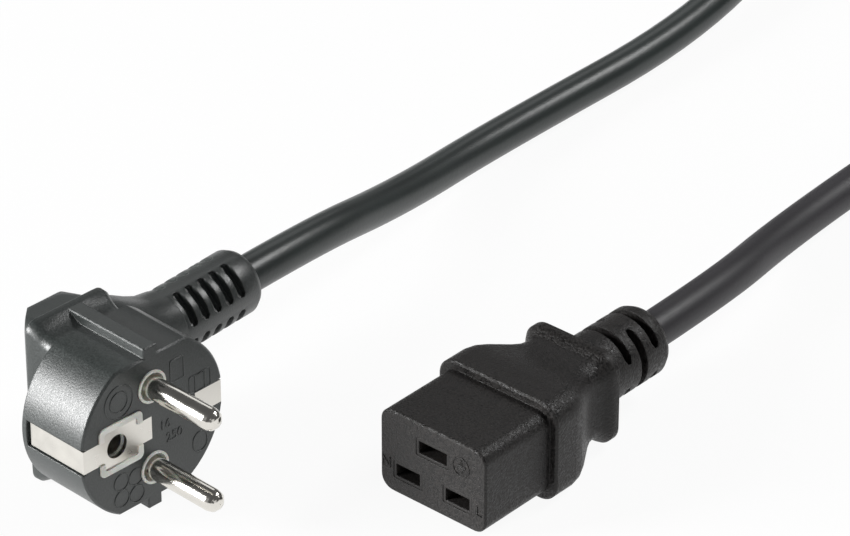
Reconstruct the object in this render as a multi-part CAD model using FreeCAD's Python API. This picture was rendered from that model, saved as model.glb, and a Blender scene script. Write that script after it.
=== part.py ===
import FreeCAD, Part
import math
import os

# Mains lead with a moulded 16 A appliance connector (three flat contacts) and an angled
# earthed mains plug.  Millimetres, +Z up.  The connector lies along Y with its engagement
# face towards -Y, and the origin is under the middle of the connector, on the surface.

V = FreeCAD.Vector
os.makedirs("parts", exist_ok=True)

# ---- driving dimensions: connector ----
BLOCK_W, BLOCK_H, BLOCK_R = 27.6, 19.2, 3.2      # front block that enters the inlet
BLOCK_L = 19.4                                   # face to collar
COLLAR_W, GRIP_H, COLLAR_R = 31.2, 23.0, 4.6     # collar, the lowest part of the lead end
NECK_W, NECK_H = 20.2, 18.8                      # waist in front of the finger stop
GRIP_FROM, GRIP_TO, GRIP_SPANS = 25.5, 38.5, 6   # where the grip draws in
WING_W, WING_H, WING_R = 23.4, 21.4, 4.4         # rear finger stop
WING_FROM, WING_TO = 41.3, 44.3
RELIEF_R = 7.9
RELIEF_END = 65.4
RELIEF_CORE_R = 5.5
RELIEF_ROWS = (52.2, 56.5, 60.8)
RELIEF_SLOT_L, RELIEF_SLOT_W = 14.7, 2.0
CENTRE_Z = GRIP_H / 2
FACE_Y = -RELIEF_END / 2
LINE_SPACING = 13.0                              # line to neutral
EARTH_OFFSET = 8.0                               # earth above the line and neutral pair
SLOT_H = 2.85
SLOT_W = {"earth": 7.3, "line": 6.2, "neutral": 6.2}
CONTACT_AT = {
    "earth": (0.0, EARTH_OFFSET / 2),
    "line": (LINE_SPACING / 2, -EARTH_OFFSET / 2),
    "neutral": (-LINE_SPACING / 2, -EARTH_OFFSET / 2),
}
TOWER_WALL = 0.7
TOWER_SET_BACK = 0.08                            # tower faces lie a touch behind the block's
TOWER_BASE_WALL, TOWER_BASE_FROM = 1.5, 3.0      # each tower is thicker round its contact
CARRIER_W, CARRIER_H = 24.4, 16.0
CARRIER_FROM, CARRIER_TO = 7.0, 18.6
CAVITY_FROM = 3.6
CAVITY_H = 4.6
SHEET = 0.6                                      # contact sheet thickness
BARREL_END = 21.5                                # crimp barrel of a contact

# ---- driving dimensions: cord ----
CORD_D = 8.4
CORD_R = CORD_D / 2
CORD_SIDES = 12                                  # flat sides of the plain tube
CORD_INSIDE = 19.4                               # how far the sheath reaches into each relief
CORE_R = 1.5                                     # insulated conductor
CORE_SIDES = 8
CORE_STRAIGHT, CORE_GATHER = 4.5, 7.5            # straight lengths at the crimp and at the sheath
LAY_R = 1.76                                     # conductors round the middle of the cord
LAY_ANGLE = {"earth": 90, "line": 330, "neutral": 210}
PLUG_LAY_ANGLE = {"earth": 180, "line": 60, "neutral": 300}

# ---- driving dimensions: plug ----
PLUG_R = 19.0                                    # round part of the engagement face
PLUG_FLAT = 16.6                                 # flats above and below, from the middle
RIB_W, RIB_REACH = 3.6, 18.8                     # guide rib on each flat
PLUG_DRUM_L = 17.3                               # enters the socket-outlet's recess
RIM_AT = 22.6                                    # finger rim, behind the face
RIM_Y0, RIM_Y1 = -11.6, 9.4                      # body behind the drum, across
BACK_AT = 33.0                                   # back of the body
BACK_R = 2.6                                     # its corners
BACK_SLOPE = (V(-24.3, -11.6, 0), V(-33.0, -2.7, 0))    # the back slopes off on the side away from the cord
PLUG_NECK_W, PLUG_NECK_R = 14.5, 6.4
PLUG_NECK_TALL, PLUG_NECK_LOW = 30.5, 14.5       # height at the body and at the relief
PLUG_NECK_FROM, PLUG_NECK_TO, PLUG_NECK_SPANS = -5.0, 15.0, 5
PIN_R, PIN_L, PIN_SPACING = 2.4, 19.0, 19.0
PIN_ROOT = 11.5                                  # length of a pin behind the face
PIN_ROOT_R = 2.1                                 # its thickness there, behind the full 4.8 mm
PIN_FULL_FROM = -1.6                             # where a pin has its full 4.8 mm
PIN_RECESS_FROM = -1.9                           # floor of the recess round a pin
PIN_TAIL = 14.9                                  # crimped end of a pin
PIN_RECESS_R = 3.05
PIN_COLLAR_R = 3.6
SOCKET_AT = -9.6                                 # earth socket from the pin line
SOCKET_R = 2.5
SOCKET_WALL = 0.6
SOCKET_FROM, SOCKET_L = 1.6, 16.4                # sleeve, behind the face
SOCKET_TAIL, SOCKET_TAIL_R = 18.0, 1.2           # crimped end of the sleeve
SOCKET_TAIL_AT = SOCKET_AT + 1.4                 # it lies towards the middle of the body
STRAP_T, STRAP_W = 0.8, 5.2
STRAP_OUT = 18.0                                 # centre of each side clip from the middle
STRAP_BACK = 15.4                                # end of each side clip, behind the face
STRAP_DIP, STRAP_DEEP = (-0.7, 11.8), 4.0        # where it passes behind the face, and how deep
FRAME_W, FRAME_H, FRAME_AT = 11.4, 11.2, -8.6
FRAME_WALL = 1.3
PLUG_TILT = 4.3                                  # relief leans back from square, degrees
PLUG_RELIEF_X, PLUG_RELIEF_Y = -25.2, 12.0       # where the relief's axis starts
PLUG_RELIEF_R = 7.3
PLUG_RELIEF_L = 38.3
PLUG_RELIEF_CORE = 5.4                           # floors of the slots, from the axis
PLUG_ROW_FROM, PLUG_ROW_PITCH, PLUG_ROWS = 17.2, 3.6, 5
PLUG_SLOT_L, PLUG_SLOT_W = 8.0, 2.1
PLUG_SLOT_TURN = 45                              # slots face up and out, not square
PLUG_YAW = -2.8
PLUG_AT = V(-44.3, -65.7, RIB_REACH)             # middle of the plug's face

# ---- driving dimensions: route of the cord ----
COIL_AT = V(-52.0, 258.0, 0)                     # middle of the put-away coil
COIL_MEAN_R = 42.0
COIL_WIDE, COIL_HIGH = 3, 2                      # turns beside and on each other
TIE_T, TIE_W = 1.0, 6.0
COIL_FLOOR = TIE_T                               # the tie passes under the coil
COIL_OUTER_TURN_R = COIL_MEAN_R + CORD_D * (COIL_WIDE - 1) / 2
ON_FLOOR = CORD_R
CONNECTOR_ROUTE = [V(0, RELIEF_END / 2 - CORD_INSIDE, CENTRE_Z), V(0, 55.5, CENTRE_Z),
                   V(-11, 96, ON_FLOOR + 0.2), V(-13.5, 150, ON_FLOOR), V(-4.5, 212, ON_FLOOR + 0.2),
                   V(COIL_AT.x + COIL_OUTER_TURN_R, COIL_AT.y, COIL_FLOOR + CORD_R)]
PLUG_EXIT_RUN = 20.0                             # straight out of the relief
PLUG_ROUTE_REST = [V(-78.5, 45, 8.8), V(-85, 84, ON_FLOOR), V(-83.8, 160, ON_FLOOR),
                   V(-98, 216, COIL_FLOOR + CORD_R + 5.3),
                   V(COIL_AT.x - COIL_OUTER_TURN_R, COIL_AT.y, COIL_FLOOR + CORD_R + CORD_D)]


# ---- helpers ----
def save(shape, node):
    """Write one node."""
    shape.exportStep("parts/" + node + ".step")


def fuse(shapes):
    """One clean solid from shapes that overlap."""
    return shapes[0].fuse(shapes[1:]).removeSplitter()


def rounded_wire(width, height, radius, y, x=0.0, z=0.0):
    """Rounded rectangle in the plane at y, as lines and quarter arcs."""
    half_w, half_h = width / 2, height / 2
    edges = []
    last = None
    for k, (sx, sz) in enumerate(((1, 1), (-1, 1), (-1, -1), (1, -1))):
        middle = V(x + sx * (half_w - radius), y, z + sz * (half_h - radius))
        points = []
        for step in (0, 45, 90):
            angle = math.radians(90 * k + step)
            points.append(middle + V(math.cos(angle), 0, math.sin(angle)) * radius)
        if last is not None:
            edges.append(Part.LineSegment(last, points[0]).toShape())
        else:
            first = points[0]
        edges.append(Part.Arc(*points).toShape())
        last = points[2]
    edges.append(Part.LineSegment(last, first).toShape())
    return Part.Wire(edges)


def rounded_prism(width, height, radius, y0, y1, x=0.0, z=0.0):
    """Rounded bar along Y."""
    face = Part.Face(rounded_wire(width, height, radius, y0, x, z))
    return face.extrude(V(0, y1 - y0, 0))


def ruled(stations, x=0.0, z=0.0):
    """Solid through rounded rectangles along Y, each (y, width, height, corner radius)."""
    return Part.makeLoft([rounded_wire(w, h, r, y, x, z) for y, w, h, r in stations], True, True)


def eased(y, y0, y1):
    """0 before y0, 1 after y1, and a smooth S between them."""
    part = min(1.0, max(0.0, (y - y0) / (y1 - y0)))
    return part * part * (3 - 2 * part)


def chamfer_rim(shape, size, y):
    """Bevels the edges that lie in the plane at y."""
    rim = [e for e in shape.Edges if abs(e.BoundBox.YMin - y) < 1e-4 and abs(e.BoundBox.YMax - y) < 1e-4]
    return shape.makeChamfer(size, rim)


def box(x0, x1, y0, y1, z0, z1):
    """Box between two corners."""
    return Part.makeBox(x1 - x0, y1 - y0, z1 - z0, V(x0, y0, z0))


def rod(radius, start, end):
    """Cylinder between two points."""
    along = end - start
    return Part.makeCylinder(radius, along.Length, start, along)


def route_wire(points, report):
    """Straight runs joined by tangent arcs, each as large as its two runs allow."""
    edges = []
    at = points[0]
    for before, corner, after in zip(points, points[1:], points[2:]):
        run_in, run_out = corner - before, after - corner
        turn = run_in.getAngle(run_out)
        radius = 0.45 * min(run_in.Length, run_out.Length) / math.tan(turn / 2)
        print(report, "turn", round(math.degrees(turn), 1), "radius", round(radius, 1))
        back = V(run_in).normalize()
        ahead = V(run_out).normalize()
        cut = radius * math.tan(turn / 2)
        arc_start, arc_end = corner - back * cut, corner + ahead * cut
        inward = (ahead - back).normalize()
        arc_mid = corner + inward * (radius / math.cos(turn / 2) - radius)
        edges.append(Part.LineSegment(at, arc_start).toShape())
        edges.append(Part.Arc(arc_start, arc_mid, arc_end).toShape())
        at = arc_end
    edges.append(Part.LineSegment(at, points[-1]).toShape())
    return Part.Wire(edges)


def flat_sided(start, along, radius, sides):
    """Section of a round bar drawn with flat sides, its corners on the bar's surface."""
    across = V(along.y, -along.x, 0).normalize()
    upright = V(along).normalize().cross(across)
    corners = []
    for k in range(sides):
        angle = 2 * math.pi * (k + 0.5) / sides
        corners.append(start + (across * math.cos(angle) + upright * math.sin(angle)) * radius)
    return Part.makePolygon(corners + corners[:1])


def cord_tube(points, report):
    """Plain tube of the cord along a route."""
    wire = route_wire(points, report)
    section = flat_sided(points[0], points[1] - points[0], CORD_R, CORD_SIDES)
    solid = wire.makePipeShell([section], True, False)
    print(report, "length", round(wire.Length, 1), "volume ratio",
          round(solid.Volume / (Part.Face(section).Area * wire.Length), 4))
    return solid


def core_rod(points):
    """Insulated conductor along straight runs with mitred bends."""
    section = flat_sided(points[0], points[1] - points[0], CORE_R, CORE_SIDES)
    return Part.makePolygon(points).makePipeShell([section], True, False, 1)


def lay_offset(angle):
    """Where a conductor sits inside the cord: across and up from the cord's centre."""
    angle = math.radians(angle)
    return LAY_R * math.cos(angle), LAY_R * math.sin(angle)


def strip(points, thickness):
    """Face of a bent sheet, seen edge on: the line offset both ways with mitred corners."""
    left, right = [], []
    for i, point in enumerate(points):
        back = V(points[max(i, 1)] - points[max(i, 1) - 1]).normalize()
        ahead = V(points[min(i + 1, len(points) - 1)] - points[min(i, len(points) - 2)]).normalize()
        across = V(-back.y, back.x, 0) + V(-ahead.y, ahead.x, 0)
        across.normalize()
        offset = across * (thickness / 2 / across.dot(V(-ahead.y, ahead.x, 0)))
        left.append(point + offset)
        right.append(point - offset)
    outline = left + right[::-1]
    return Part.Face(Part.makePolygon(outline + outline[:1]))


def slot_bar(centre, across, out, length, width, reach):
    """Bar with bevelled ends that cuts a slot on both sides of a relief along Y."""
    half_l, half_w, bevel = length / 2, width / 2, 0.29 * width
    corners = []
    for sx, sz in ((1, 1), (-1, 1), (-1, -1), (1, -1)):
        pair = [(sx * half_l, sz * (half_w - bevel)), (sx * (half_l - bevel), sz * half_w)]
        corners += pair if sx * sz > 0 else pair[::-1]
    outline = [centre - out * reach + across * x + V(0, y, 0) for x, y in corners]
    return Part.Face(Part.makePolygon(outline + outline[:1])).extrude(out * (2 * reach))


def place_connector(shape):
    """From face-at-zero coordinates to the lead's frame."""
    shape.translate(V(0, FACE_Y, CENTRE_Z))
    return shape


def place_plug(shape):
    """From the plug's own frame (pins along +X) to the lead's frame."""
    shape.rotate(V(0, 0, 0), V(0, 0, 1), PLUG_YAW)
    shape.translate(PLUG_AT)
    return shape


def plug_point(point):
    """A point of the plug's own frame, in the lead's frame."""
    return FreeCAD.Rotation(V(0, 0, 1), PLUG_YAW).multVec(point) + PLUG_AT


# ---- connector ----
def connector_outside():
    """Front block, waisted grip, finger stop and slotted relief as one moulding."""
    block = chamfer_rim(rounded_prism(BLOCK_W, BLOCK_H, BLOCK_R, 0, BLOCK_L + 2), 0.35, 0)
    stations = [(BLOCK_L, COLLAR_W - 0.9, GRIP_H - 0.9, COLLAR_R - 0.3),
                (BLOCK_L + 0.4, COLLAR_W, GRIP_H, COLLAR_R)]
    for k in range(GRIP_SPANS + 1):
        y = GRIP_FROM + (GRIP_TO - GRIP_FROM) * k / GRIP_SPANS
        drawn_in = eased(y, GRIP_FROM, GRIP_TO)
        width = COLLAR_W + (NECK_W - COLLAR_W) * drawn_in
        height = GRIP_H + (NECK_H - GRIP_H) * drawn_in
        stations.append((y, width, height, COLLAR_R))
    rim = ((WING_FROM - 1.2, 2.5), (WING_FROM, 0.8), (WING_FROM + 0.7, 0.0), (WING_TO - 0.7, 0.0), (WING_TO, 1.1))
    for y, inset in rim:
        stations.append((y, WING_W - inset, WING_H - inset, WING_R))
    grip = ruled(stations)
    solid = fuse([block, grip, relief_blank(WING_TO - 1, RELIEF_END, RELIEF_R)])
    core = rod(RELIEF_CORE_R, V(0, WING_TO, 0), V(0, RELIEF_END, 0))
    for k, y in enumerate(RELIEF_ROWS):
        out, across = (V(0, 0, 1), V(1, 0, 0)) if k % 2 == 0 else (V(1, 0, 0), V(0, 0, 1))
        bar = slot_bar(V(0, y, 0), across, out, RELIEF_SLOT_L, RELIEF_SLOT_W, RELIEF_R + 2)
        solid = solid.cut(bar.cut(core))
    return solid


def relief_blank(y0, y1, radius):
    """Turned relief that rounds over at its cord end."""
    line = [(0, y0), (radius, y0), (radius, y1 - 1.7), (radius - 0.6, y1 - 0.5), (radius - 1.9, y1), (0, y1)]
    outline = [V(r, y, 0) for r, y in line]
    return Part.Face(Part.makePolygon(outline + outline[:1])).revolve(V(0, 0, 0), V(0, 1, 0), 360)


def carrier_envelope(front):
    """Contact carrier without its cavities: a block with one tower per contact, that starts at front."""
    solids = [rounded_prism(CARRIER_W, CARRIER_H, 1.5, CARRIER_FROM, CARRIER_TO)]
    for name, (x, z) in CONTACT_AT.items():
        for wall, y0, y1 in ((TOWER_WALL, front, TOWER_BASE_FROM + 1),
                             (TOWER_BASE_WALL, TOWER_BASE_FROM, CARRIER_FROM + 1)):
            solids.append(rounded_prism(SLOT_W[name] + 2 * wall, SLOT_H + 2 * wall, 0.5, y0, y1, x, z))
    return fuse(solids)


def contact_carrier():
    """Carrier with a blade slot and a contact cavity through each tower."""
    solid = carrier_envelope(TOWER_SET_BACK)
    for name, (x, z) in CONTACT_AT.items():
        half = SLOT_W[name] / 2
        solid = solid.cut(box(x - half, x + half, -1, CAVITY_FROM + 1, z - SLOT_H / 2, z + SLOT_H / 2))
        half += 0.6
        solid = solid.cut(box(x - half, x + half, CAVITY_FROM, CARRIER_TO + 1,
                              z - CAVITY_H / 2, z + CAVITY_H / 2))
    return solid


def spring_contact(name):
    """Folded spring clip: two bowed leaves, a back web and a closed crimp barrel."""
    x, z = CONTACT_AT[name]
    half = SLOT_W[name] / 2 + 0.4
    leaf = [V(4.2, 1.75, 0), V(6.8, 0.95, 0), V(9.8, 1.2, 0), V(13.0, 1.85, 0), V(16.2, 1.85, 0)]
    leaves = strip(leaf, SHEET).extrude(V(0, 0, 2 * half))
    web = box(16.2 - SHEET, 16.2, -1.85, 1.85, 0, 2 * half)
    solid = fuse([leaves, leaves.mirror(V(0, 0, 0), V(0, 1, 0)), web])
    solid.rotate(V(0, 0, 0), V(0, 0, 1), 90)
    solid.rotate(V(0, 0, 0), V(0, 1, 0), 90)
    solid.translate(V(x - half, 0, z))
    return fuse([solid, rod(1.65, V(x, 15.8, z), V(x, BARREL_END, z))])


def connector_core(name):
    """Insulated conductor from the crimp to the end of the sheath."""
    x, z = CONTACT_AT[name]
    ex, ez = lay_offset(LAY_ANGLE[name])
    end = RELIEF_END - CORD_INSIDE
    return core_rod([V(x, BARREL_END, z), V(x, BARREL_END + CORE_STRAIGHT, z), V(ex, end - CORE_GATHER, ez),
                     V(ex, end, ez)])


# ---- plug ----
def relief_frame():
    """Start and direction of the plug's relief axis, in the plug's own frame."""
    tilt = math.radians(PLUG_TILT)
    return V(PLUG_RELIEF_X, PLUG_RELIEF_Y, 0), V(-math.sin(tilt), math.cos(tilt), 0)


def on_relief(distance, side=0.0, up=0.0):
    """A point on or beside the relief's axis."""
    start, along = relief_frame()
    return start + along * distance + V(along.y, -along.x, 0) * side + V(0, 0, up)


def plug_drum():
    """Round engagement body with two flats, a guide rib on each and a groove at each side."""
    drum = Part.makeCylinder(PLUG_R, PLUG_DRUM_L, V(-PLUG_DRUM_L, 0, 0), V(1, 0, 0))
    drum = drum.common(box(-PLUG_DRUM_L, 0, -PLUG_R, PLUG_R, -PLUG_FLAT, PLUG_FLAT))
    drum = drum.makeChamfer(0.4, [e for e in drum.Edges if e.BoundBox.XMin > -1e-4])
    rib = box(-RIM_AT + 0.8, 0, -RIB_W / 2, RIB_W / 2, -RIB_REACH, RIB_REACH)
    rib = rib.makeChamfer(0.25, [e for e in rib.Edges if e.BoundBox.XLength > 1 or e.BoundBox.XMin > -1e-4])
    solid = fuse([drum, rib])
    for side in (-1, 1):
        y0, y1 = sorted((side * (STRAP_OUT - STRAP_T / 2), side * (PLUG_R + 1)))
        solid = solid.cut(box(-PLUG_DRUM_L + 1.2, 1, y0, y1, -STRAP_W / 2 - 0.4, STRAP_W / 2 + 0.4))
    return solid


def along_x(shape, y):
    """Turns a bar made along Y so that it runs back from the plug's face, at a place across."""
    shape.rotate(V(0, 0, 0), V(0, 0, 1), 90)
    shape.translate(V(0, y, 0))
    return shape


def plug_back():
    """Body behind the drum: it flares to the finger rim, and draws in to a plain back."""
    levels = ((PLUG_DRUM_L - 0.8, 0.8, 4.6), (PLUG_DRUM_L + 1.2, 1.0, 4.2), (RIM_AT - 2.2, 0.8, 2.4),
              (RIM_AT - 0.4, 0.0, 0.2), (RIM_AT + 1.0, 0.0, 0.0), (RIM_AT + 1.8, 1.2, 1.2),
              (RIM_AT + 2.6, 3.6, 3.6), (BACK_AT - 1.4, 5.6, 6.2), (BACK_AT, 8.2, 8.8))
    width, height = RIM_Y1 - RIM_Y0, 2 * RIB_REACH
    stations = [(y, width - less_w, height - less_h, BACK_R) for y, less_w, less_h in levels]
    solid = along_x(ruled(stations), (RIM_Y0 + RIM_Y1) / 2)
    low, high = BACK_SLOPE
    over = (high - low) * 0.3
    wedge = [low - over, high + over, V(high.x - 5, low.y - 5, 0), low - over]
    wedge = Part.Face(Part.makePolygon([corner - V(0, 0, RIB_REACH + 1) for corner in wedge]))
    return solid.cut(wedge.extrude(V(0, 0, 2 * RIB_REACH + 2)))


def plug_neck():
    """Neck that gathers the tall body into the round relief."""
    stations = []
    for k in range(PLUG_NECK_SPANS + 1):
        y = PLUG_NECK_FROM + (PLUG_NECK_TO - PLUG_NECK_FROM) * k / PLUG_NECK_SPANS
        gathered = eased(y, PLUG_NECK_FROM - 1, PLUG_NECK_TO)
        height = PLUG_NECK_TALL + (PLUG_NECK_LOW - PLUG_NECK_TALL) * gathered
        stations.append((y, PLUG_NECK_W, height, PLUG_NECK_R))
    solid = ruled(stations)
    solid.rotate(V(0, 0, 0), V(0, 0, 1), PLUG_TILT)
    solid.translate(relief_frame()[0])
    return solid


def plug_relief():
    """Round relief with five rows of four slots."""
    solid = relief_blank(PLUG_NECK_TO - 0.5, PLUG_RELIEF_L, PLUG_RELIEF_R)
    core = box(-PLUG_RELIEF_CORE, PLUG_RELIEF_CORE, 0, PLUG_RELIEF_L, -PLUG_RELIEF_CORE, PLUG_RELIEF_CORE)
    for row in range(PLUG_ROWS):
        centre = V(0, PLUG_ROW_FROM + row * PLUG_ROW_PITCH, 0)
        for out, across in ((V(0, 0, 1), V(1, 0, 0)), (V(1, 0, 0), V(0, 0, 1))):
            bar = slot_bar(centre, across, out, PLUG_SLOT_L, PLUG_SLOT_W, PLUG_RELIEF_R + 2)
            solid = solid.cut(bar.cut(core))
    solid.rotate(V(0, 0, 0), V(0, 1, 0), PLUG_SLOT_TURN)
    solid.rotate(V(0, 0, 0), V(0, 0, 1), PLUG_TILT)
    solid.translate(relief_frame()[0])
    return solid


def earth_strap():
    """One bent strip: side clip, socket plate, crossing behind the face, other side clip."""
    t = STRAP_T / 2
    line = [V(-STRAP_BACK, -STRAP_OUT, 0), V(-t, -STRAP_OUT, 0), V(-t, STRAP_DIP[0], 0),
            V(-STRAP_DEEP, STRAP_DIP[0], 0), V(-STRAP_DEEP, STRAP_DIP[1], 0), V(-t, STRAP_DIP[1], 0),
            V(-t, STRAP_OUT, 0), V(-STRAP_BACK, STRAP_OUT, 0)]
    solid = strip(line, STRAP_T).extrude(V(0, 0, STRAP_W))
    solid.translate(V(0, 0, -STRAP_W / 2))
    half_w, half_h = FRAME_W / 2 - FRAME_WALL - 0.1, FRAME_H / 2 - FRAME_WALL - 0.1
    plate = box(-STRAP_T, 0, FRAME_AT - half_w, FRAME_AT + half_w, -half_h, half_h)
    return fuse([solid, plate]).cut(rod(SOCKET_R + 0.1, V(-2, SOCKET_AT, 0), V(1, SOCKET_AT, 0)))


def socket_envelope():
    """Sleeve and tail of the earth socket without its bore."""
    return fuse([rod(SOCKET_R + SOCKET_WALL, V(-SOCKET_L, SOCKET_AT, 0), V(-SOCKET_FROM, SOCKET_AT, 0)),
                 rod(SOCKET_TAIL_R, V(-SOCKET_TAIL, SOCKET_TAIL_AT, 0), V(-SOCKET_L + 1, SOCKET_TAIL_AT, 0))])


def socket_bore():
    """Space that the socket-outlet's earth pin enters."""
    return rod(SOCKET_R, V(-SOCKET_L + 1.2, SOCKET_AT, 0), V(1, SOCKET_AT, 0))


def earth_socket():
    """Split sleeve behind the socket plate that grips the outlet's earth pin."""
    reach = SOCKET_R + SOCKET_WALL + 1
    slit = box(-SOCKET_L + 5, 0, SOCKET_AT - 0.3, SOCKET_AT + 0.3, 0, reach)
    slit.rotate(V(0, SOCKET_AT, 0), V(1, 0, 0), 45)
    return socket_envelope().cut(socket_bore()).cut(slit)


def plug_pin(side):
    """Solid pin with a domed tip, a shoulder in the bridge and a crimped tail."""
    z = side * PIN_SPACING / 2
    steps = [(-PIN_TAIL, 0), (-PIN_TAIL, 1.8), (-PIN_ROOT, 1.8), (-PIN_ROOT, PIN_R + 0.7),
             (-PIN_ROOT + 2, PIN_R + 0.7), (-PIN_ROOT + 2, PIN_ROOT_R),
             (PIN_FULL_FROM, PIN_ROOT_R), (PIN_FULL_FROM, PIN_R)]
    for angle in (90, 60, 32, 0):
        turn = math.radians(angle)
        steps.append((PIN_L - PIN_R + PIN_R * math.cos(turn), PIN_R * math.sin(turn)))
    outline = [V(x, 0, z + r) for x, r in steps]
    return Part.Face(Part.makePolygon(outline + outline[:1])).revolve(V(0, 0, z), V(1, 0, 0), 360)


def bridge_envelope():
    """Pale insert that holds the pins: a base, two pin collars and the socket's frame."""
    base = box(-10.5, -1.6, -12.8, 6.0, -12.8, 12.8)
    base = base.makeChamfer(1.6, [e for e in base.Edges if e.BoundBox.XLength > 1])
    collars = [rod(PIN_COLLAR_R, V(-5, 0, side * PIN_SPACING / 2), V(0.3, 0, side * PIN_SPACING / 2))
               for side in (-1, 1)]
    frame = along_x(rounded_prism(FRAME_W, FRAME_H, 1.3, -0.3, 3), FRAME_AT)
    return fuse([base, frame] + collars)


def bridge_openings():
    """Open front of the bridge: the frame's recess, the strap's way through and two pin recesses."""
    inner_w, inner_h = FRAME_W - 2 * FRAME_WALL, FRAME_H - 2 * FRAME_WALL
    recess = along_x(rounded_prism(inner_w, inner_h, 0.6, -1, 1.0), FRAME_AT)
    way = box(-STRAP_T, 1, FRAME_AT - FRAME_W, FRAME_AT + FRAME_W, -STRAP_W / 2, STRAP_W / 2)
    pins = [rod(PIN_RECESS_R, V(PIN_RECESS_FROM, 0, side * PIN_SPACING / 2), V(1, 0, side * PIN_SPACING / 2))
            for side in (-1, 1)]
    return fuse([recess, way] + pins)


def plug_core(name, start):
    """Insulated conductor from a crimp to the end of the sheath."""
    across, up = lay_offset(PLUG_LAY_ANGLE[name])
    end = PLUG_RELIEF_L - CORD_INSIDE
    return core_rod([start, start - V(CORE_STRAIGHT, 0, 0), on_relief(end - CORE_GATHER, across, up),
                     on_relief(end, across, up)])


# ---- cord ----
def bundle_face(grow):
    """Outline round the coil's turns, in the XZ plane."""
    half_w, half_h = COIL_WIDE * CORD_R + grow, COIL_HIGH * CORD_R + grow
    middle_z = COIL_FLOOR + COIL_HIGH * CORD_R
    corners = [V(COIL_MEAN_R + sx * half_w, 0, middle_z + sz * half_h)
               for sx, sz in ((1, 1), (-1, 1), (-1, -1), (1, -1), (1, 1))]
    return Part.Face(Part.makePolygon(corners))


def cord_coil():
    """Outer shape of the put-away coil: a ring of the bundle's section."""
    ring = bundle_face(0).revolve(V(0, 0, 0), V(0, 0, 1), 360)
    ring.translate(COIL_AT)
    return ring


def cord_tie(coil):
    """Strap round the bundle, at the side away from the two ends."""
    strap = bundle_face(TIE_T).extrude(V(0, TIE_W, 0))
    strap.translate(V(0, -TIE_W / 2, 0))
    strap.rotate(V(0, 0, 0), V(0, 0, 1), 90)
    strap.translate(COIL_AT)
    return strap.cut(coil)


def main():
    # cord
    coil = cord_coil()
    inside, outside = (plug_point(on_relief(PLUG_RELIEF_L + s)) for s in (-CORD_INSIDE, PLUG_EXIT_RUN))
    connector_run = cord_tube(CONNECTOR_ROUTE, "connector run")
    plug_run = cord_tube([inside, outside] + PLUG_ROUTE_REST, "plug run")
    print("plug cord starts", [round(value, 2) for value in (*inside, *outside)])
    save(connector_run.cut(coil), "cord_connector_run")
    save(plug_run.cut(coil), "cord_plug_run")
    save(coil, "cord_coil")
    save(cord_tie(coil), "cord_tie")

    # connector
    overmould = connector_outside().cut(carrier_envelope(-1))
    save(place_connector(contact_carrier()), "contact_carrier")
    for name in CONTACT_AT:
        contact, core = spring_contact(name), connector_core(name)
        overmould = overmould.cut(contact).cut(core)
        save(place_connector(contact), name + "_contact")
        save(place_connector(core), "connector_" + name + "_core")
    save(place_connector(overmould).cut(connector_run), "connector_overmould")

    # plug
    overmould = fuse([plug_drum(), plug_back(), plug_neck(), plug_relief()]).cut(bridge_envelope())
    bridge = bridge_envelope().cut(bridge_openings())
    strap, pins = earth_strap(), {"line": plug_pin(1), "neutral": plug_pin(-1)}
    for piece in (strap, socket_envelope(), socket_bore(), pins["line"], pins["neutral"]):
        overmould, bridge = overmould.cut(piece), bridge.cut(piece)
    starts = {"line": V(-PIN_TAIL, 0, PIN_SPACING / 2), "neutral": V(-PIN_TAIL, 0, -PIN_SPACING / 2),
              "earth": V(-SOCKET_TAIL, SOCKET_TAIL_AT, 0)}
    for name, start in starts.items():
        core = plug_core(name, start)
        overmould = overmould.cut(core)
        save(place_plug(core), "plug_" + name + "_core")
    save(place_plug(strap), "earth_strap")
    save(place_plug(earth_socket()), "earth_socket")
    save(place_plug(bridge), "plug_bridge")
    save(place_plug(overmould).cut(plug_run), "plug_overmould")
    for name, pin in pins.items():
        save(place_plug(pin), name + "_pin")


main()
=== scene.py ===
"""Looks for a mains lead: 16 A appliance connector, flexible cord and angled earthed mains plug."""
import math

import bpy
import numpy as np
from bpy.props import FloatProperty, FloatVectorProperty, PointerProperty, StringProperty
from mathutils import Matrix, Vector


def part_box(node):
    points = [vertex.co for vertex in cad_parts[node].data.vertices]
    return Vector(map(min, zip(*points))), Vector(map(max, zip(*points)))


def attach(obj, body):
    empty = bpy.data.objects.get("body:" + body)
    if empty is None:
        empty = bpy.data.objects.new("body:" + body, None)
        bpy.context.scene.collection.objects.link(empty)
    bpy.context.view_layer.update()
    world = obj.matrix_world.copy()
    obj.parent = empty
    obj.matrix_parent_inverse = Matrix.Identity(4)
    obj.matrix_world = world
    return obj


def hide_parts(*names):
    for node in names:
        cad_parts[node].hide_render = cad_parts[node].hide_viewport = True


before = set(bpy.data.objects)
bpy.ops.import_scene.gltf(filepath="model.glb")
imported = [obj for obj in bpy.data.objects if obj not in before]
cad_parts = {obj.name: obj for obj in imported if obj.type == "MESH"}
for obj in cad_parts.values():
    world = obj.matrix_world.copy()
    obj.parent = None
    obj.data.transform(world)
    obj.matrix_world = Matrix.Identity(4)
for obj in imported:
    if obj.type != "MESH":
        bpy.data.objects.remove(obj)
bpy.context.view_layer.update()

bl_info = {
    "name": "Appliance connector lead",
    "version": (1, 0, 0),
    "blender": (4, 5, 0),
    "location": "3D View > Sidebar > Lead",
    "description": "Dresses a mains lead with an appliance connector and an angled earthed plug",
    "category": "Object",
}

MM = 0.001

# ---- nodes of the solid model ----
CONNECTOR_FACE_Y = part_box("connector_overmould")[0].y
CONDUCTORS = ("earth", "line", "neutral")
PLUG_NODES = ["plug_overmould", "plug_bridge", "line_pin", "neutral_pin", "earth_strap",
              "earth_socket"]
PLUG_NODES += ["plug_" + name + "_core" for name in CONDUCTORS]

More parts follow.
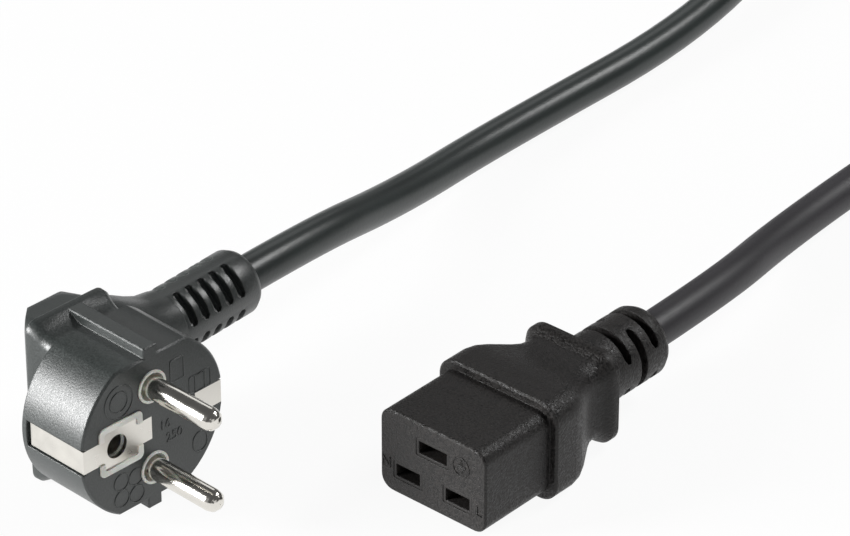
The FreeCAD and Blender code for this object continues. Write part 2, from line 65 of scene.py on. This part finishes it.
# ---- the cord's route, millimetres ----
CORD_D = 8.4
CORD_R = CORD_D / 2
TIE_T = 1.0
CENTRE_Z = 11.5
COIL_AT = (-52.0, 258.0)
COIL_MEAN_R = 42.0
COIL_TURN_RADII = (COIL_MEAN_R + CORD_D, COIL_MEAN_R, COIL_MEAN_R - CORD_D,
                   COIL_MEAN_R - CORD_D, COIL_MEAN_R, COIL_MEAN_R + CORD_D)
COIL_TURNS = 5.5
COIL_LOW_TURNS = 3
COIL_LOW_Z = TIE_T + CORD_R
COIL_HIGH_Z = COIL_LOW_Z + CORD_D
# the share of a turn after which it eases to the next one, and the share that this takes
EASE_AFTER = 0.5
EASE_OVER = 0.47
POINTS_PER_TURN = 24
# each route starts inside its end's strain relief and goes to the coil
CONNECTOR_ROUTE = [(0, 13.3, CENTRE_Z), (0, 55.5, CENTRE_Z), (-11, 96, CORD_R + 0.2),
                   (-13.5, 150, CORD_R), (-4.5, 212, CORD_R + 0.2)]
PLUG_ROUTE = [(-69.38, -33.59, 18.8), (-70.41, 5.8, 18.8), (-78.5, 45, 8.8), (-85, 84, CORD_R),
              (-83.8, 160, CORD_R), (-98, 216, COIL_LOW_Z + 5.3)]

# ---- marks moulded on the two faces, millimetres ----
PLUG_YAW = math.radians(-2.8)
PLUG_AT = (-44.3, -65.7, 18.8)
RIB_HALF = 0.17
RIB_HIGH = 0.15
LOOP_STEPS = 48
RIB_STEPS = 8
# each outline: across, up, width, height, corner radius
EARTH_SIGN = [(7.4, 4.1, 4.2, 4.2, 2.1), (7.4, 4.95, 0.34, 1.3, 0.17),
              (7.4, 4.2, 2.3, 0.34, 0.17), (7.4, 3.6, 1.5, 0.34, 0.17),
              (7.4, 3.0, 0.8, 0.34, 0.17)]
PLUG_OUTLINES = [(-8.7, 9.8, 7.4, 7.4, 3.7), (-8.7, 9.8, 4.6, 4.6, 2.3),
                 (-8.8, -8.9, 3.8, 3.8, 1.9), (-4.9, -9.4, 3.8, 3.8, 1.9),
                 (-8.8, -12.8, 3.8, 3.8, 1.9), (-4.8, -13.5, 3.8, 3.8, 1.9),
                 (12.4, -9.2, 3.8, 4.6, 1.9), (6.8, 10.4, 3.6, 5.0, 0.4),
                 (12.8, 4.8, 5.7, 4.0, 0.4), (12.8, 4.8, 2.6, 4.0, 0.4)]
# each character: what it says, across, up
FACE_LETTERS = [("N", -12.2, -3.2), ("L", 12.0, -4.4)]
PLUG_NUMBERS = [("16", 3.2, -1.0), ("250", 5.6, -4.4)]
LETTER_HEIGHT = 2.4
NUMBER_HEIGHT = 2.1
CHARACTER_RISE = 0.12
# a capital's height as a share of the font's size
CAPITAL_SHARE = 0.7

# ---- surfaces ----
PLASTIC_IOR = 1.53
# scales of noises: how often each pattern repeats in a metre
FLOW_CLOUDS = 90.0
SHEATH_WAVES = 60.0
SHEATH_PEEL = 1 / 0.0009
NYLON_CLOUDS = 250.0
PLATE_HAZE = 300.0
PAPER_FIBRES = 900.0
# scales of wave textures: at a scale of 1, a wave along an axis repeats every 0.31 m, and a
# diagonal one every 0.36 m
CORE_STRIPES = 60.0
STRAP_WEAVE = 320.0
# most of a noise lies between these values; the grain's own noise spreads less, and its gloss
# and its specks each take a range of it
NOISE_LOW, NOISE_HIGH = 0.3, 0.7
GRAIN_LOW, GRAIN_HIGH = 0.35, 0.65
SPECK_LOW, SPECK_HIGH = 0.36, 0.66
# how far mottled grain moves the roughness either way
GRAIN_GLOSS = 0.24
# metres: rounding of edges, heights of soft and woven surfaces, half the run over which the
# cord's dye changes, and how close two corners of triangles are welded
EDGE_ROUNDING = 0.0004
SOFT_DEPTH = 0.00003
YARN_DEPTH = 0.0002
DYE_CHANGE = 0.01
WELD = 0.000002
# an edge that bends more than this is shaded sharp
SHARP_EDGE = math.radians(32)
# conductors' insulation: colour and stripe
CORE_COLOURS = {"earth": ("#3f8a2e", "#e0c52a"), "line": ("#6b3f22", "#6b3f22"),
                "neutral": ("#2f62b0", "#2f62b0")}

# ---- stage, metres and watts ----
FLOOR_HALF = 6.0
FLOOR_WHITENESS = 0.93
WORLD_STRENGTH = 0.1
# the point that every lamp faces
LAMPS_FACE = (-0.03, -0.02, 0.015)
# each lamp: name, direction it stands in, distance, width, height, power
LAMPS = [("key", (-0.56, -0.78, 0.28), 1.2, 0.4, 0.65, 26.0),
         ("fill", (0.9, -0.35, 0.2), 1.4, 0.8, 0.8, 1.3),
         ("back", (0.31, 0.64, 0.70), 1.2, 0.5, 0.25, 7.0),
         ("sky", (-0.56, 0.64, 0.52), 1.2, 0.6, 0.4, 0.7)]


# ---- properties ----
class LeadProperties(bpy.types.PropertyGroup):
    """Sizes and colours that a user would change."""
    connector_colour: StringProperty(
        name="Connector PVC", description="Colour of the moulded connector", default="#201e1d")
    carrier_colour: StringProperty(
        name="Carrier resin", description="Colour of the contact carrier", default="#242221")
    plug_colour: StringProperty(
        name="Plug PVC", description="Colour of the moulded plug", default="#343837")
    cord_colour: StringProperty(
        name="Cord PVC", description="Colour of the extruded sheath by the plug",
        default="#2b3130")
    cord_end_colour: StringProperty(
        name="Cord PVC, far side", description="Colour of the extruded sheath by the connector",
        default="#29272b")
    nylon_colour: StringProperty(
        name="Natural nylon", description="Colour of the pin bridge", default="#ecece5")
    nickel_colour: StringProperty(
        name="Nickel plate", description="Colour of pins and earth strap", default="#e2dfd8")
    brass_colour: StringProperty(
        name="Brass", description="Colour of the spring contacts", default="#c9a75a")
    tie_colour: StringProperty(
        name="Coil tie", description="Colour of the strap round the coil", default="#2b2b2b")
    # Real spark grain repeats about every 0.05 mm, too fine to show in the render, so it is
    # drawn ten times as coarse.
    grain: FloatProperty(
        name="Mould grain", description="Spacing of the spark-eroded grain", default=0.0005,
        precision=5, subtype="DISTANCE", unit="LENGTH")
    camera_azimuth: FloatProperty(
        name="Camera azimuth", description="Angle of the view round the lead",
        default=math.radians(41.5), subtype="ANGLE", unit="ROTATION")
    camera_elevation: FloatProperty(
        name="Camera elevation", description="Angle of the view above the floor",
        default=math.radians(31.5), subtype="ANGLE", unit="ROTATION")
    camera_distance: FloatProperty(
        name="Camera distance", description="From the lens to the aim point", default=0.9,
        subtype="DISTANCE", unit="LENGTH")
    camera_aim: FloatVectorProperty(
        name="Camera aim", description="Point in the middle of the view",
        default=(-0.01494, -0.01807, 0.04554), subtype="TRANSLATION", unit="LENGTH")
    camera_lens: FloatProperty(
        name="Lens", description="Focal length in millimetres", default=193.6, unit="CAMERA")


def settings():
    """The scene's property group."""
    return bpy.context.scene.lead


# ---- colour and node helpers ----
def srgb(text):
    """Linear colour with alpha from an sRGB hex value."""
    values = [int(text[i:i + 2], 16) / 255 for i in (1, 3, 5)]
    return [v / 12.92 if v <= 0.04045 else ((v + 0.055) / 1.055) ** 2.4 for v in values] + [1.0]


def scaled(colour, factor):
    """A linear colour made lighter or darker."""
    return [min(1.0, c * factor) for c in colour[:3]] + [1.0]


def grey(value):
    """A grey that a colour is multiplied by; it may be over 1."""
    return [value] * 3 + [1.0]


def add(tree, kind, sockets=None, **attributes):
    """Adds a node, sets its attributes, and sets or links its input sockets by name or number."""
    node = tree.nodes.new(kind)
    for key, value in attributes.items():
        setattr(node, key, value)
    for key, value in (sockets or {}).items():
        if isinstance(value, bpy.types.NodeSocket):
            tree.links.new(value, node.inputs[key])
        else:
            node.inputs[key].default_value = value
    return node


def new_material(name):
    """Material with an empty tree, its tree, and a socket that gives the place on the object."""
    material = bpy.data.materials.new(name)
    material.use_nodes = True
    tree = material.node_tree
    tree.nodes.clear()
    return material, tree, add(tree, "ShaderNodeTexCoord").outputs["Object"]


def noise(tree, place, scale, detail, **sockets):
    """Value of a noise at a place."""
    sockets = {"Vector": place, "Scale": scale, "Detail": detail, **sockets}
    return add(tree, "ShaderNodeTexNoise", sockets).outputs["Fac"]


def ramp(tree, value, *stops):
    """Colour that a value picks between two (value, colour) stops."""
    node = add(tree, "ShaderNodeValToRGB", {"Fac": value})
    for element, (place, colour) in zip(node.color_ramp.elements, stops):
        element.position = place
        element.color = colour
    return node.outputs["Color"]


def clouded(tree, value, colour, darkest, lightest):
    """A colour that a noise makes a little darker and lighter."""
    return ramp(tree, value, (NOISE_LOW, scaled(colour, darkest)),
                (NOISE_HIGH, scaled(colour, lightest)))


def multiplied(tree, first, second):
    """Product of two colour sockets."""
    node = add(tree, "ShaderNodeMix", {"Factor": 1.0}, data_type="RGBA", blend_type="MULTIPLY")
    for value, socket in zip((first, second), [s for s in node.inputs if s.type == "RGBA"]):
        tree.links.new(value, socket)
    return [s for s in node.outputs if s.type == "RGBA"][0]


def mapped(tree, value, start, end, low, high):
    """A value brought from the range start to end into the range low to high."""
    sockets = {"Value": value, "From Min": start, "From Max": end, "To Min": low, "To Max": high}
    return add(tree, "ShaderNodeMapRange", sockets).outputs["Result"]


def raised(tree, value, depth, **sockets):
    """Normal of a surface that a value raises by up to a depth in metres."""
    sockets = {"Height": value, "Distance": depth, "Strength": 1.0, **sockets}
    return add(tree, "ShaderNodeBump", sockets).outputs["Normal"]


def greater(tree, first, second):
    """The greater of two values."""
    node = add(tree, "ShaderNodeMath", {0: first, 1: second}, operation="MAXIMUM")
    return node.outputs["Value"]


def finished(material, sockets):
    """The material, with a shader of these sockets linked to its output."""
    tree = material.node_tree
    shader = add(tree, "ShaderNodeBsdfPrincipled", sockets)
    add(tree, "ShaderNodeOutputMaterial", {"Surface": shader.outputs["BSDF"]})
    return material


# ---- materials ----
def moulded_pvc(name, colour, roughness, gloss, grain_size, grain_depth, mottle):
    """Soft PVC moulded in a spark-eroded steel tool: pin-prick grain breaks the gloss up into fine
    sparkle and mottles the colour, every edge is slightly rounded, and flow marks cloud it."""
    material, tree, place = new_material(name)
    grain = noise(tree, place, 1 / grain_size, 2.0, Roughness=0.6)
    clouds = noise(tree, place, FLOW_CLOUDS, 2.0)
    tint = clouded(tree, clouds, colour, 0.9, 1.1)
    speck = ramp(tree, grain, (SPECK_LOW, grey(1 - mottle)), (SPECK_HIGH, grey(1 + mottle)))
    spread = GRAIN_GLOSS * mottle
    edge = add(tree, "ShaderNodeBevel", {"Radius": EDGE_ROUNDING}, samples=4)
    return finished(material, {
        "Base Color": multiplied(tree, tint, speck),
        "Roughness": mapped(tree, grain, GRAIN_LOW, GRAIN_HIGH, roughness - spread,
                            roughness + spread),
        "IOR": PLASTIC_IOR,
        "Specular IOR Level": gloss,
        "Normal": raised(tree, grain, grain_depth, Normal=edge.outputs["Normal"])})


def extruded_pvc(name, near, far):
    """PVC sheath drawn through a die: satin, with long faint waves and the slightest orange peel.
    Its dye drifts from one colour to the other across the lead, and its gloss falls off with it."""
    material, tree, place = new_material(name)
    across = add(tree, "ShaderNodeSeparateXYZ", {"Vector": place}).outputs["X"]
    middle = COIL_AT[0] * MM
    drift = mapped(tree, across, middle - DYE_CHANGE, middle + DYE_CHANGE, 0.0, 1.0)
    dye = ramp(tree, drift, (0.0, near), (1.0, far))
    waves = noise(tree, place, SHEATH_WAVES, 2.0)
    tint = ramp(tree, waves, (NOISE_LOW, grey(0.88)), (NOISE_HIGH, grey(1.12)))
    peel = noise(tree, place, SHEATH_PEEL, 2.0)
    return finished(material, {
        "Base Color": multiplied(tree, dye, tint),
        "Roughness": mapped(tree, drift, 0.0, 1.0, 0.34, 0.48),
        "IOR": PLASTIC_IOR,
        "Normal": raised(tree, peel, SOFT_DEPTH)})


def moulded_nylon(name, colour):
    """Natural polyamide: waxy, slightly translucent, with a faint cloud."""
    material, tree, place = new_material(name)
    clouds = noise(tree, place, NYLON_CLOUDS, 3.0)
    return finished(material, {
        "Base Color": clouded(tree, clouds, colour, 0.93, 1.05),
        "Roughness": 0.42,
        "IOR": PLASTIC_IOR,
        "Subsurface Weight": 0.15,
        "Subsurface Scale": 0.001,
        "Normal": raised(tree, clouds, SOFT_DEPTH)})


def bright_metal(name, colour, roughness, waviness, depth):
    """Plated or rolled metal: mirror-like or satin, hazy in places, with the slight waviness of
    the bar or sheet that it was made from."""
    material, tree, place = new_material(name)
    haze = noise(tree, place, PLATE_HAZE, 3.0)
    waves = noise(tree, place, 1 / waviness, 4.0)
    return finished(material, {
        "Base Color": clouded(tree, haze, colour, 0.95, 1.03),
        "Metallic": 1.0,
        "Roughness": mapped(tree, haze, NOISE_LOW, NOISE_HIGH, roughness - 0.03,
                            roughness + 0.04),
        "Normal": raised(tree, waves, depth)})


def striped_insulation(name, first, second):
    """Extruded core insulation in one or two colours: on the earth core, a yellow stripe winds
    round the green."""
    material, tree, place = new_material(name)
    wave = add(tree, "ShaderNodeTexWave",
               {"Vector": place, "Scale": CORE_STRIPES, "Distortion": 1.0},
               wave_type="BANDS", bands_direction="DIAGONAL")
    return finished(material, {
        "Base Color": ramp(tree, wave.outputs["Fac"], (0.49, first), (0.51, second)),
        "Roughness": 0.35,
        "IOR": PLASTIC_IOR})


def woven_strap(name, colour):
    """Woven hook-and-loop strap: a weave of about 1 mm yarn."""
    material, tree, place = new_material(name)
    yarns = [add(tree, "ShaderNodeTexWave", {"Vector": place, "Scale": STRAP_WEAVE},
                 bands_direction=direction).outputs["Fac"] for direction in ("X", "DIAGONAL")]
    weave = greater(tree, *yarns)
    return finished(material, {
        "Base Color": ramp(tree, weave, (0.2, scaled(colour, 0.5)), (0.9, scaled(colour, 1.3))),
        "Roughness": 0.85,
        "Normal": raised(tree, weave, YARN_DEPTH)})


def floor_paper():
    """White paper sweep: shows as white where the lens, gloss or glass looks at it, and still
    takes a soft shadow."""
    material, tree, place = new_material("Paper sweep, matte white")
    rays = add(tree, "ShaderNodeLightPath")
    seen = greater(tree, rays.outputs["Is Camera Ray"], rays.outputs["Is Glossy Ray"])
    seen = greater(tree, seen, rays.outputs["Is Transmission Ray"])
    share = add(tree, "ShaderNodeMath", {0: seen, 1: FLOOR_WHITENESS}, operation="MULTIPLY")
    fibres = noise(tree, place, PAPER_FIBRES, 3.0)
    tint = ramp(tree, fibres, (NOISE_LOW, srgb("#f4f4f4")), (NOISE_HIGH, srgb("#fafafa")))
    paper = add(tree, "ShaderNodeBsdfDiffuse", {"Color": tint})
    glow = add(tree, "ShaderNodeEmission", {"Color": srgb("#ffffff"), "Strength": 1.0})
    both = add(tree, "ShaderNodeMixShader", {0: share.outputs["Value"], 1: paper.outputs["BSDF"],
                                             2: glow.outputs["Emission"]})
    add(tree, "ShaderNodeOutputMaterial", {"Surface": both.outputs["Shader"]})
    return material


# ---- finishing CAD nodes ----
def smooth_node(node):
    """Welds a CAD node's loose triangles for shading, and keeps its sharp edges."""
    for polygon in node.data.polygons:
        polygon.use_smooth = True
    node.modifiers.new("weld", "WELD").merge_threshold = WELD
    node.modifiers.new("split", "EDGE_SPLIT").split_angle = SHARP_EDGE


def finish_nodes(names, material):
    """Gives CAD nodes their material and shading."""
    for name in names:
        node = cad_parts[name]
        node.data.materials.clear()
        node.data.materials.append(material)
        smooth_node(node)


# ---- the cord ----
def coil_points():
    """Turns of the put-away coil, from the connector's side anticlockwise to the plug's side.
    Each turn is a circle; over its last half it eases to the next turn's radius and height."""
    points = []
    last = len(COIL_TURN_RADII) - 1
    for i in range(int(COIL_TURNS * POINTS_PER_TURN) + 1):
        turns = i / POINTS_PER_TURN
        this = min(int(turns), last)
        after = min(this + 1, last)
        ease = min(1.0, max(0.0, (turns - this - EASE_AFTER) / EASE_OVER))
        ease = ease * ease * (3 - 2 * ease)
        radius = COIL_TURN_RADII[this] + ease * (COIL_TURN_RADII[after] - COIL_TURN_RADII[this])
        start, end = [COIL_LOW_Z if turn < COIL_LOW_TURNS else COIL_HIGH_Z
                      for turn in (this, after)]
        angle = 2 * math.pi * turns
        points.append((COIL_AT[0] + radius * math.cos(angle),
                       COIL_AT[1] + radius * math.sin(angle), start + ease * (end - start)))
    return points


def cord_curve(material):
    """The cord as one open NURBS spline of its real length."""
    curve = bpy.data.curves.new("cord", "CURVE")
    curve.dimensions = "3D"
    curve.bevel_depth = CORD_R * MM
    curve.bevel_resolution = 8
    curve.resolution_u = 10
    points = CONNECTOR_ROUTE + coil_points() + PLUG_ROUTE[::-1]
    spline = curve.splines.new("NURBS")
    spline.points.add(len(points) - 1)
    for point, place in zip(spline.points, points):
        point.co = [value * MM for value in place] + [1.0]
    spline.order_u = 3
    spline.use_endpoint_u = True
    spline.use_smooth = True
    cord = bpy.data.objects.new("cord", curve)
    cord.data.materials.append(material)
    bpy.context.scene.collection.objects.link(cord)
    return cord


# ---- marks ----
def on_connector_face(across, up, out):
    """Points on the connector's face, metres: across to the right, up from its middle, and out
    of it."""
    return np.stack([across + 0 * out, CONNECTOR_FACE_Y - out + 0 * across,
                     CENTRE_Z * MM + up + 0 * out], -1)


def on_plug_face(across, up, out):
    """Points on the plug's face, metres; the face is turned by the plug's yaw."""
    return np.stack([PLUG_AT[0] * MM + out * math.cos(PLUG_YAW) - across * math.sin(PLUG_YAW),
                     PLUG_AT[1] * MM + out * math.sin(PLUG_YAW) + across * math.cos(PLUG_YAW),
                     PLUG_AT[2] * MM + up + 0 * out], -1)


def moulded_mark(name, mesh, material):
    """Object for a mark that is moulded with the body under it."""
    mark = bpy.data.objects.new(name, mesh)
    mark.data.materials.append(material)
    bpy.context.scene.collection.objects.link(mark)
    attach(mark, "root")


def raised_character(name, body, height, across, up, place, material):
    """A raised character on a face, millimetres: a font outline, thickened, then made a mesh and
    placed."""
    text = bpy.data.curves.new(name, "FONT")
    text.body = body
    text.align_x = "CENTER"
    text.align_y = "CENTER"
    text.size = height * MM / CAPITAL_SHARE
    text.extrude = CHARACTER_RISE * MM
    made = bpy.data.objects.new(name, text)
    bpy.context.scene.collection.objects.link(made)
    mesh = bpy.data.meshes.new_from_object(made)
    bpy.data.objects.remove(made)
    co = np.empty(len(mesh.vertices) * 3)
    mesh.vertices.foreach_get("co", co)
    co = co.reshape(-1, 3)
    placed = place(co[:, 0] + across * MM, co[:, 1] + up * MM, co[:, 2])
    mesh.vertices.foreach_set("co", placed.ravel())
    mesh.update()
    moulded_mark(name, mesh, material)


def raised_outlines(name, outlines, place, material):
    """Low ribs that draw rounded rectangles and rings on a face. At an angle round the outline,
    the point lies on an arc about the centre of the nearest corner. The rib's section is an
    ellipse: its cosine goes outwards in the face, and its sine goes out of the face."""
    turn = ((np.arange(LOOP_STEPS) + 0.5) * 2 * np.pi / LOOP_STEPS)[None, :, None]
    section = (np.arange(RIB_STEPS) * 2 * np.pi / RIB_STEPS)[None, None, :]
    x, y, wide, high, radius = (np.array(outlines).T * MM)[:, :, None, None]
    reach = radius + RIB_HALF * MM * np.cos(section)
    across = x + np.sign(np.cos(turn)) * (wide / 2 - radius) + reach * np.cos(turn)
    up = y + np.sign(np.sin(turn)) * (high / 2 - radius) + reach * np.sin(turn)
    points = place(across, up, RIB_HIGH * MM * np.sin(section))
    index = np.arange(points.size // 3).reshape(points.shape[:3])
    ahead, beside = np.roll(index, -1, axis=1), np.roll(index, -1, axis=2)
    faces = np.stack([index, ahead, np.roll(ahead, -1, axis=2), beside], -1)
    mesh = bpy.data.meshes.new(name)
    mesh.from_pydata(points.reshape(-1, 3).tolist(), [], faces.reshape(-1, 4).tolist())
    mesh.shade_smooth()
    moulded_mark(name, mesh, material)


# ---- operators ----
class LEAD_OT_camera(bpy.types.Operator):
    """Place the camera that looks down on both ends of the lead"""
    bl_idname = "lead.camera"
    bl_label = "Camera"

    def execute(self, context):
        values = settings()
        azimuth, elevation = values.camera_azimuth, values.camera_elevation
        back = Vector((math.sin(azimuth) * math.cos(elevation),
                       -math.cos(azimuth) * math.cos(elevation), math.sin(elevation)))
        data = bpy.data.cameras.new("camera")
        data.lens = values.camera_lens
        data.clip_start = 0.01
        camera = bpy.data.objects.new("camera", data)
        camera.location = Vector(values.camera_aim) + back * values.camera_distance
        camera.rotation_euler = back.to_track_quat("Z", "Y").to_euler()
        context.scene.collection.objects.link(camera)
        context.scene.camera = camera
        return {"FINISHED"}


class LEAD_OT_connector(bpy.types.Operator):
    """Finish the connector's mouldings and its face letters"""
    bl_idname = "lead.connector"
    bl_label = "Connector"

    def execute(self, context):
        values = settings()
        pvc = moulded_pvc("PVC connector, spark-eroded grain", srgb(values.connector_colour),
                          roughness=0.46, gloss=0.32, grain_size=values.grain,
                          grain_depth=0.0002, mottle=0.7)
        resin = moulded_pvc("Polyamide carrier, fine grain", srgb(values.carrier_colour),
                            roughness=0.5, gloss=0.3, grain_size=values.grain,
                            grain_depth=0.00005, mottle=0.3)
        finish_nodes(["connector_overmould"], pvc)
        finish_nodes(["contact_carrier"], resin)
        for letter, across, up in FACE_LETTERS:
            raised_character("face_letter_" + letter, letter, LETTER_HEIGHT, across, up,
                             on_connector_face, pvc)
        raised_outlines("face_earth_sign", EARTH_SIGN, on_connector_face, pvc)
        return {"FINISHED"}


class LEAD_OT_plug(bpy.types.Operator):
    """Finish the plug's moulding, bridge, pins and earth parts"""
    bl_idname = "lead.plug"
    bl_label = "Plug"

    def execute(self, context):
        values = settings()
        pvc = moulded_pvc("PVC plug, fine spark-eroded grain", srgb(values.plug_colour),
                          roughness=0.37, gloss=0.6, grain_size=values.grain * 0.75,
                          grain_depth=0.00004, mottle=0.24)
        finish_nodes(["plug_overmould"], pvc)
        raised_outlines("plug_outlines", PLUG_OUTLINES, on_plug_face, pvc)
        for number, across, up in PLUG_NUMBERS:
            raised_character("plug_number_" + number, number, NUMBER_HEIGHT, across, up,
                             on_plug_face, pvc)
        nylon = moulded_nylon("Polyamide bridge, natural", srgb(values.nylon_colour))
        finish_nodes(["plug_bridge"], nylon)
        nickel = srgb(values.nickel_colour)
        polished = bright_metal("Nickel plate on turned brass, polished", nickel,
                                roughness=0.16, waviness=0.0005, depth=0.000004)
        finish_nodes(["line_pin", "neutral_pin"], polished)
        satin = bright_metal("Nickel plate on rolled sheet, satin", nickel,
                             roughness=0.3, waviness=0.0004, depth=0.00001)
        finish_nodes(["earth_strap", "earth_socket"], satin)
        return {"FINISHED"}


class LEAD_OT_contacts(bpy.types.Operator):
    """Finish the spring contacts and conductors inside both ends"""
    bl_idname = "lead.contacts"
    bl_label = "Contacts and conductors"

    def execute(self, context):
        brass = bright_metal("Brass strip, stamped and bright", srgb(settings().brass_colour),
                             roughness=0.28, waviness=0.0004, depth=0.00001)
        finish_nodes([name + "_contact" for name in CONDUCTORS], brass)
        for name, (first, second) in CORE_COLOURS.items():
            skin = striped_insulation("PVC core insulation, " + name, srgb(first), srgb(second))
            finish_nodes([end + name + "_core" for end in ("connector_", "plug_")], skin)
        return {"FINISHED"}


class LEAD_OT_tie(bpy.types.Operator):
    """Finish the strap that holds the coil"""
    bl_idname = "lead.tie"
    bl_label = "Coil tie"

    def execute(self, context):
        strap = woven_strap("Nylon strap, woven", srgb(settings().tie_colour))
        finish_nodes(["cord_tie"], strap)
        return {"FINISHED"}


class LEAD_OT_cord(bpy.types.Operator):
    """Lay the flexible cord along its route, with the spare length coiled"""
    bl_idname = "lead.cord"
    bl_label = "Cord"

    def execute(self, context):
        values = settings()
        cord = cord_curve(extruded_pvc("PVC sheath, extruded satin", srgb(values.cord_colour),
                                       srgb(values.cord_end_colour)))
        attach(cord, "root")
        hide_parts("cord_connector_run", "cord_coil", "cord_plug_run")
        return {"FINISHED"}


def softbox(name, direction, distance, width, height, power):
    """A rectangular area lamp that faces the middle of the lead's two ends."""
    towards = Vector(direction).normalized()
    data = bpy.data.lights.new(name, "AREA")
    data.shape = "RECTANGLE"
    data.size, data.size_y = width, height
    data.energy = power
    lamp = bpy.data.objects.new(name, data)
    lamp.location = Vector(LAMPS_FACE) + towards * distance
    lamp.rotation_euler = towards.to_track_quat("Z", "Y").to_euler()
    bpy.context.scene.collection.objects.link(lamp)


class LEAD_OT_stage(bpy.types.Operator):
    """Put down the pale floor and the studio lamps"""
    bl_idname = "lead.stage"
    bl_label = "Floor and lamps"

    def execute(self, context):
        mesh = bpy.data.meshes.new("floor")
        corners = [(-FLOOR_HALF, -FLOOR_HALF, 0), (FLOOR_HALF, -FLOOR_HALF, 0),
                   (FLOOR_HALF, FLOOR_HALF, 0), (-FLOOR_HALF, FLOOR_HALF, 0)]
        mesh.from_pydata(corners, [], [(0, 1, 2, 3)])
        floor = bpy.data.objects.new("floor", mesh)
        context.scene.collection.objects.link(floor)
        floor.data.materials.append(floor_paper())
        world = bpy.data.worlds.new("studio")
        context.scene.world = world
        world.use_nodes = True
        background = world.node_tree.nodes["Background"]
        background.inputs["Color"].default_value = srgb("#ffffff")
        background.inputs["Strength"].default_value = WORLD_STRENGTH
        for lamp in LAMPS:
            softbox(*lamp)
        context.scene.view_settings.view_transform = "Standard"
        return {"FINISHED"}


STEPS = (LEAD_OT_camera, LEAD_OT_connector, LEAD_OT_plug, LEAD_OT_contacts, LEAD_OT_tie,
         LEAD_OT_cord, LEAD_OT_stage)


class LEAD_PT_panel(bpy.types.Panel):
    """Sidebar panel that lists the steps"""
    bl_label = "Lead"
    bl_idname = "LEAD_PT_panel"
    bl_space_type = "VIEW_3D"
    bl_region_type = "UI"
    bl_category = "Lead"

    def draw(self, context):
        for step in STEPS:
            self.layout.operator(step.bl_idname)


CLASSES = (LeadProperties, *STEPS, LEAD_PT_panel)


def register():
    """Registers the classes and the scene's property group."""
    for item in CLASSES:
        bpy.utils.register_class(item)
    bpy.types.Scene.lead = PointerProperty(type=LeadProperties)


def unregister():
    """Removes what register added."""
    del bpy.types.Scene.lead
    for item in reversed(CLASSES):
        bpy.utils.unregister_class(item)


def main():
    """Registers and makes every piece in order."""
    register()
    for step in STEPS:
        group, name = step.bl_idname.split(".")
        getattr(getattr(bpy.ops, group), name)()


if __name__ == "__main__":
    main()
